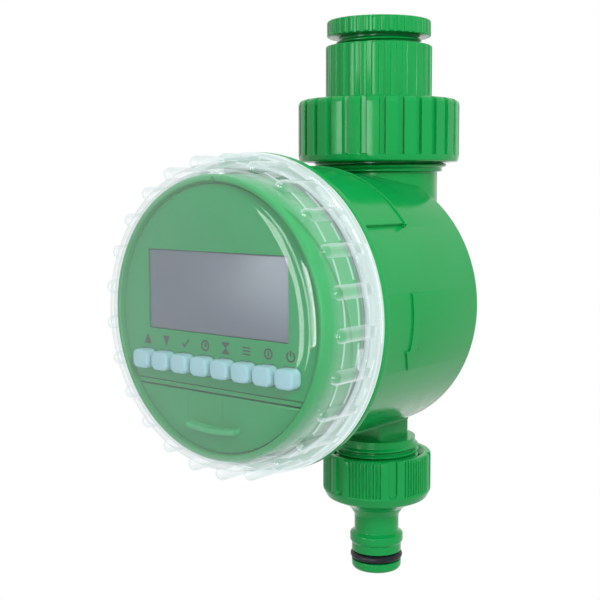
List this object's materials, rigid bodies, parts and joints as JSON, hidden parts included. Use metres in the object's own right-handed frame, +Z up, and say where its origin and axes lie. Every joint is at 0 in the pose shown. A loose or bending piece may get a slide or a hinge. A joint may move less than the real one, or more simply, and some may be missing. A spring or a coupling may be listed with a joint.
{
  "type": "drip irrigation timer",
  "caption": "Battery water timer for a garden tap: round clear-covered control head on a green drum, motorised ball valve, union inlet and quick-connect outlet.",
  "frame": {"origin": "centre of the tap inlet's top face, on the water line's axis", "axes": "+Z up along the water line, towards the tap; the control face looks along -Y"},
  "size_m": [0.0878, 0.1027, 0.172],
  "materials": {
    "body_green": "glossy moulded ABS with a fine satin bloom",
    "panel_green": "satin moulded ABS",
    "clear_cover": "clear polished styrene",
    "silicone": "milky silicone",
    "key_silicone": "pale blue silicone, satin",
    "rubber": "black rubber with a violet cast",
    "nylon": "natural nylon",
    "seat_plastic": "white low-friction plastic",
    "chrome": "polished plated brass",
    "steel": "satin steel",
    "brass": "bright brass",
    "display_window": "grey tinted acrylic",
    "display_glass": "unpowered grey liquid crystal cell",
    "board_green": "solder-masked glass epoxy",
    "cell_wrap": "plain dark wrap, no lettering"
  },
  "bodies": {
    "housing": {"housing": "body_green", "valve_body": "body_green", "filter_screen": "nylon", "upper_seat": "seat_plastic", "lower_seat": "seat_plastic", "seat_retainer": "nylon", "stem_seal": "rubber", "idler_pin": "steel", "valve_motor": "steel", "gearbox_plate": "nylon", "gearbox_screw_1": "steel", "gearbox_screw_2": "steel", "gearbox_screw_3": "steel", "control_head": "panel_green", "head_seal": "silicone", "rear_screw_1": "steel", "rear_screw_2": "steel", "rear_screw_3": "steel", "rear_screw_4": "steel", "lcd_window": "display_window", "lcd_module": "display_glass", "circuit_board": "board_green", "board_screw_1": "steel", "board_screw_2": "steel", "board_screw_3": "steel", "board_screw_4": "steel"},
    "valve_rotor": {"valve_ball": "chrome", "valve_stem": "steel", "output_gear": "nylon"},
    "idler": {"idler_gear": "nylon"},
    "pinion": {"motor_pinion": "brass"},
    "inlet_tail": {"tap_sleeve": "body_green", "inlet_washer": "rubber"},
    "inlet_nut": {"inlet_nut": "body_green"},
    "reducer_seat": {"reducer_washer": "rubber"},
    "reducer": {"tap_reducer": "body_green"},
    "outlet_seat": {"outlet_washer": "rubber"},
    "outlet_connector": {"outlet_connector": "body_green", "nipple_o_ring": "rubber"},
    "cover_ring": {"cover_gasket": "silicone"},
    "cover": {"cover": "clear_cover"},
    "battery_drawer": {"battery_tray": "panel_green", "battery_cell_1": "cell_wrap", "battery_cell_2": "cell_wrap", "contact_bridge": "brass", "contact_tab_1": "brass", "contact_tab_2": "brass"},
    "key_up": {"key_up": "key_silicone"},
    "key_down": {"key_down": "key_silicone"},
    "key_set": {"key_set": "key_silicone"},
    "key_clock": {"key_clock": "key_silicone"},
    "key_time": {"key_time": "key_silicone"},
    "key_program": {"key_program": "key_silicone"},
    "key_on": {"key_on": "key_silicone"},
    "key_off": {"key_off": "key_silicone"}
  },
  "joints": [
    {"name": "valve_turn", "type": "hinge", "parent": "housing", "child": "valve_rotor", "pos_m": [0, 0, -0.0845], "axis": [0, 1, 0], "range_deg": [0, 90]},
    {"name": "idler_turn", "type": "hinge", "parent": "housing", "child": "idler", "pos_m": [0, 0, -0.0635], "axis": [0, 1, 0], "range_deg": [-226, 0]},
    {"name": "motor_turn", "type": "hinge", "parent": "housing", "child": "pinion", "pos_m": [-0.015, 0, -0.07345], "axis": [0, 1, 0], "range_deg": [0, 451]},
    {"name": "inlet_lift", "type": "slide", "parent": "housing", "child": "inlet_tail", "axis": [0, 0, 1], "range_m": [0, 0.0116]},
    {"name": "inlet_nut_turn", "type": "hinge", "parent": "inlet_tail", "child": "inlet_nut", "pos_m": [0, 0, 0], "axis": [0, 0, 1], "range_deg": [0, 1800]},
    {"name": "reducer_lift", "type": "slide", "parent": "inlet_tail", "child": "reducer_seat", "axis": [0, 0, 1], "range_m": [0, 0.01]},
    {"name": "reducer_turn", "type": "hinge", "parent": "reducer_seat", "child": "reducer", "pos_m": [0, 0, 0], "axis": [0, 0, 1], "range_deg": [0, 1980]},
    {"name": "outlet_drop", "type": "slide", "parent": "housing", "child": "outlet_seat", "axis": [0, 0, -1], "range_m": [0, 0.0091]},
    {"name": "outlet_turn", "type": "hinge", "parent": "outlet_seat", "child": "outlet_connector", "pos_m": [0, 0, 0], "axis": [0, 0, -1], "range_deg": [0, 1800]},
    {"name": "cover_travel", "type": "slide", "parent": "housing", "child": "cover_ring", "axis": [0, -1, 0], "range_m": [0, 0.0551]},
    {"name": "cover_turn", "type": "hinge", "parent": "cover_ring", "child": "cover", "pos_m": [0, 0, -0.0845], "axis": [0, -1, 0], "range_deg": [0, 330]},
    {"name": "drawer_slide", "type": "slide", "parent": "housing", "child": "battery_drawer", "axis": [0, -1, 0], "range_m": [0, 0.036]},
    {"name": "press_up", "type": "slide", "parent": "housing", "child": "key_up", "axis": [0, 1, 0], "range_m": [0, 0.0008], "stiffness_N_per_m": 600, "springref_m": -0.0006},
    {"name": "press_down", "type": "slide", "parent": "housing", "child": "key_down", "axis": [0, 1, 0], "range_m": [0, 0.0008], "stiffness_N_per_m": 600, "springref_m": -0.0006},
    {"name": "press_set", "type": "slide", "parent": "housing", "child": "key_set", "axis": [0, 1, 0], "range_m": [0, 0.0008], "stiffness_N_per_m": 600, "springref_m": -0.0006},
    {"name": "press_clock", "type": "slide", "parent": "housing", "child": "key_clock", "axis": [0, 1, 0], "range_m": [0, 0.0008], "stiffness_N_per_m": 600, "springref_m": -0.0006},
    {"name": "press_time", "type": "slide", "parent": "housing", "child": "key_time", "axis": [0, 1, 0], "range_m": [0, 0.0008], "stiffness_N_per_m": 600, "springref_m": -0.0006},
    {"name": "press_program", "type": "slide", "parent": "housing", "child": "key_program", "axis": [0, 1, 0], "range_m": [0, 0.0008], "stiffness_N_per_m": 600, "springref_m": -0.0006},
    {"name": "press_on", "type": "slide", "parent": "housing", "child": "key_on", "axis": [0, 1, 0], "range_m": [0, 0.0008], "stiffness_N_per_m": 600, "springref_m": -0.0006},
    {"name": "press_off", "type": "slide", "parent": "housing", "child": "key_off", "axis": [0, 1, 0], "range_m": [0, 0.0008], "stiffness_N_per_m": 600, "springref_m": -0.0006}
  ],
  "couplings": [
    {"joint": "idler_turn", "follows": "valve_turn", "ratio": -2.5},
    {"joint": "motor_turn", "follows": "valve_turn", "ratio": 5},
    {"joint": "inlet_lift", "follows": "inlet_nut_turn", "m_per_rad": 0.00036749},
    {"joint": "reducer_lift", "follows": "reducer_turn", "m_per_rad": 0.00028871},
    {"joint": "outlet_drop", "follows": "outlet_turn", "m_per_rad": 0.00028871},
    {"joint": "cover_travel", "follows": "cover_turn", "m_per_rad": 0.0095493},
    {"joint": "drawer_slide", "follows": "cover_turn", "m_per_rad": 0.0062}
  ]
}
